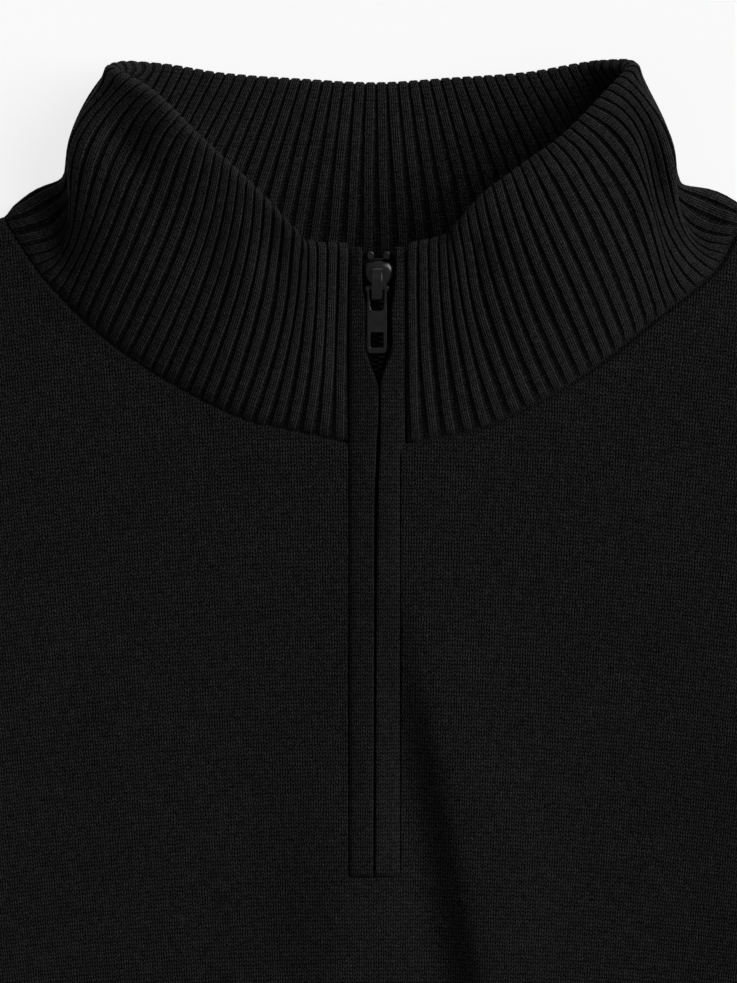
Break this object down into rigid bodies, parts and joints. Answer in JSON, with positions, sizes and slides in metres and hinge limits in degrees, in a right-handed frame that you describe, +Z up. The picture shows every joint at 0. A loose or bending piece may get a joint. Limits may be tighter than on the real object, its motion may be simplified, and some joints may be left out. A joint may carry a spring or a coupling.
{
  "type": "quarter zip sweater",
  "caption": "Black fine-knit quarter zip sweater laid flat, with a standing ribbed collar, covered placket and zip with a swinging pull.",
  "frame": {"origin": "middle of the rectangle that the laid garment covers, on the surface that it lies on", "axes": "+Z up out of the chest, +Y from the hem to the collar, +X to the right as the laid front is seen, which is the wearer's left"},
  "size_m": [1.2098, 0.7368, 0.0387],
  "materials": {
    "jersey": "matte black cotton jersey, fine gauge stockinette",
    "rib": "matte black cotton two-by-two rib",
    "tape": "black woven polyester zip tape",
    "coil": "black moulded zip teeth",
    "lacquer": "satin black lacquer on die-cast zinc"
  },
  "bodies": {
    "garment": {"back_panel": "jersey", "front_panel": "jersey", "sleeve_left": "jersey", "sleeve_right": "jersey", "cuff_left": "rib", "cuff_right": "rib", "hem_band": "rib", "collar": "rib", "placket_left": "jersey", "placket_right": "jersey", "zip_tape_left": "tape", "zip_tape_right": "tape", "zip_chain": "coil", "zip_slider": "lacquer", "zip_stop_left": "lacquer", "zip_stop_right": "lacquer"},
    "pull": {"zip_pull": "lacquer"}
  },
  "joints": [
    {"name": "pull_swing", "type": "hinge", "parent": "garment", "child": "pull", "pos_m": [0.00075, 0.29932, 0.02598], "axis": [-1, 0, 0], "range_deg": [0, 165]}
  ]
}
